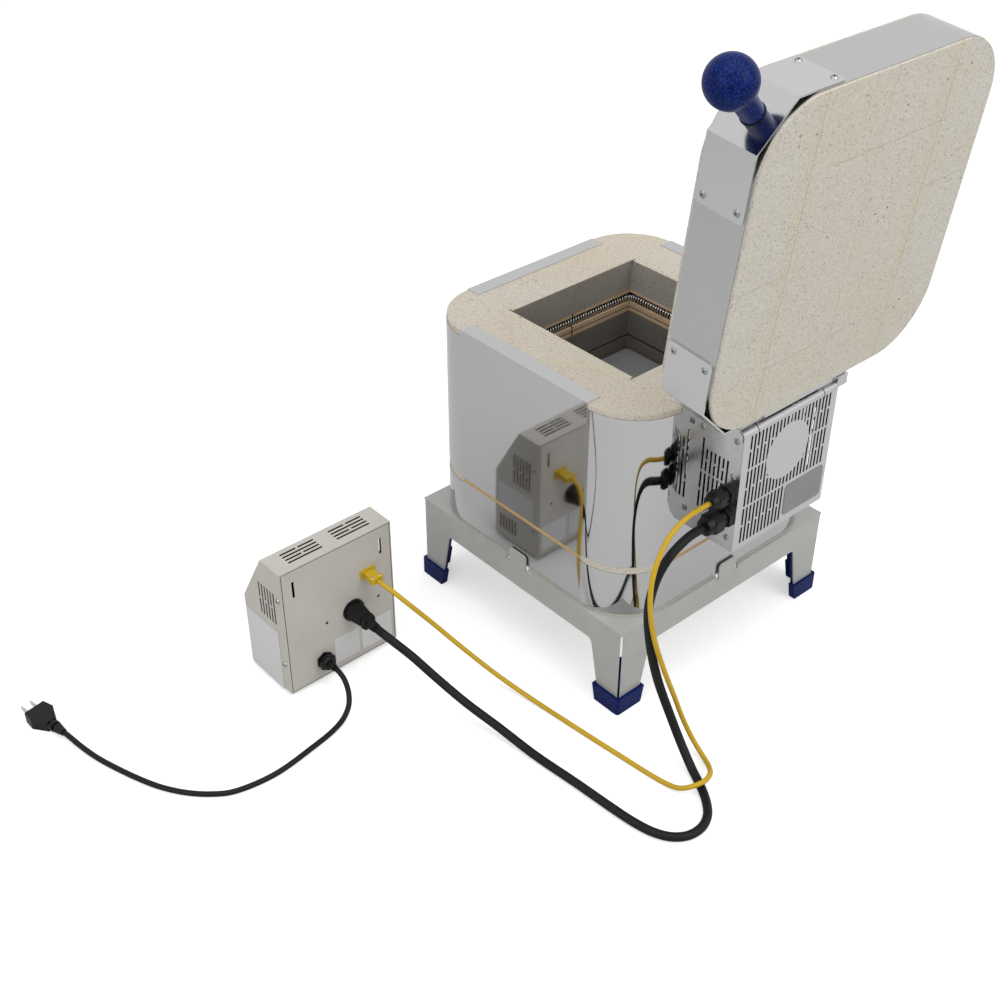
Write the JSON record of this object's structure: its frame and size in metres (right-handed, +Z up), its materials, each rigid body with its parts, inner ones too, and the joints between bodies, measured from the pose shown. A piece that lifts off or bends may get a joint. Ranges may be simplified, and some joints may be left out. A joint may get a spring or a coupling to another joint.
{
  "type": "electric kiln",
  "caption": "Small square firebrick kiln on a sheet stand, lid hinged open at the back, with a separate control box joined by cables.",
  "frame": {"origin": "on the floor, under the middle of the box around kiln and control box with the lid open and the cords left out", "axes": "+Z up, -Y the front of the kiln, +Y the side with the lid hinge and element housing, +X towards the control box"},
  "size_m": [0.9058, 0.6684, 0.8264],
  "materials": {
    "stand_paint": "satin powder coat",
    "foot_moulding": "speckled blue moulding",
    "firebrick": "open-pored insulating brick",
    "polished_sheet": "mirror-polished",
    "band_sheet": "satin",
    "bracket_sheet": "polished",
    "seal": "fibre strip",
    "holder": "matt, unglazed",
    "heating_wire": "oxidised",
    "porcelain": "glazed",
    "kiln_furniture": "matt, unglazed",
    "sheath": "matt",
    "housing_sheet": "polished",
    "box_paint": "fine-textured satin",
    "blank_sheet": "matt",
    "screw_steel": "bright",
    "brass": "bright",
    "lead_cover": "heat-resistant sleeve",
    "gland_nylon": "matt moulding",
    "knob_moulding": "speckled blue moulding",
    "yellow_cord": "smooth jacket",
    "black_cord": "matt jacket",
    "yellow_moulding": "matt moulding",
    "black_moulding": "matt moulding",
    "blade_metal": "nickel-plated",
    "foot_rubber": "matt",
    "board": "solder-masked board",
    "panel_overlay": "matt overlay",
    "display": "smoked red window",
    "key_cap": "matt",
    "switch_moulding": "gloss moulding",
    "relay_case": "matt"
  },
  "bodies": {
    "kiln": {"stand": "stand_paint", "foot_cap_1": "foot_moulding", "foot_cap_2": "foot_moulding", "foot_cap_3": "foot_moulding", "foot_cap_4": "foot_moulding", "base_brick": "firebrick", "base_jacket": "polished_sheet", "seam_seals": "seal", "lower_brick": "firebrick", "upper_brick": "firebrick", "body_jacket": "polished_sheet", "element_holders": "holder", "lower_element": "heating_wire", "upper_element": "heating_wire", "element_insulators": "porcelain", "kiln_shelf": "kiln_furniture", "shelf_posts": "kiln_furniture", "thermocouple": "sheath", "housing_back": "housing_sheet", "housing_shell": "housing_sheet", "housing_panel": "housing_sheet", "blank_plates": "blank_sheet", "case_screws": "screw_steel", "terminal_blocks": "porcelain", "terminal_screws": "brass", "inner_leads": "lead_cover", "tc_gland": "gland_nylon", "power_gland": "gland_nylon", "hinge_base": "bracket_sheet", "hinge_rod": "screw_steel", "lid_stop": "bracket_sheet", "tc_cable": "yellow_cord", "power_cable": "black_cord", "mains_cord": "black_cord", "tc_plug": "yellow_moulding", "power_plug": "black_moulding", "mains_plug": "black_moulding", "plug_blades": "blade_metal", "box_cover": "box_paint", "box_back_panel": "box_paint", "box_feet": "foot_rubber", "tc_jack": "yellow_moulding", "power_outlet": "black_moulding", "mains_gland": "gland_nylon", "controller_board": "board", "controller_panel": "panel_overlay", "display_window": "display", "power_switch": "switch_moulding", "power_relay": "relay_case"},
    "lid": {"lid_brick": "firebrick", "lid_band": "band_sheet", "front_bracket": "bracket_sheet", "hinge_bracket": "bracket_sheet", "bracket_screws": "screw_steel", "lid_knob": "knob_moulding", "knob_stud": "screw_steel"},
    "rocker": {"power_rocker": "switch_moulding"},
    "key_1": {"key_1": "key_cap"},
    "key_2": {"key_2": "key_cap"},
    "key_3": {"key_3": "key_cap"}
  },
  "joints": [
    {"name": "lid_hinge", "type": "hinge", "parent": "kiln", "child": "lid", "pos_m": [-0.13767, 0.1402, 0.4052], "axis": [1, 0, 0], "range_deg": [0, 96.4]},
    {"name": "rocker_tilt", "type": "hinge", "parent": "kiln", "child": "rocker", "pos_m": [0.29352, -0.21845, 0.1494], "axis": [1, 0, 0], "range_deg": [0, 14]},
    {"name": "key_1_press", "type": "slide", "parent": "kiln", "child": "key_1", "axis": [0, 0.8632, -0.5048], "range_m": [0, 0.001], "stiffness_N_per_m": 400, "springref_m": -0.0004},
    {"name": "key_2_press", "type": "slide", "parent": "kiln", "child": "key_2", "axis": [0, 0.8632, -0.5048], "range_m": [0, 0.001], "stiffness_N_per_m": 400, "springref_m": -0.0004},
    {"name": "key_3_press", "type": "slide", "parent": "kiln", "child": "key_3", "axis": [0, 0.8632, -0.5048], "range_m": [0, 0.001], "stiffness_N_per_m": 400, "springref_m": -0.0004}
  ]
}
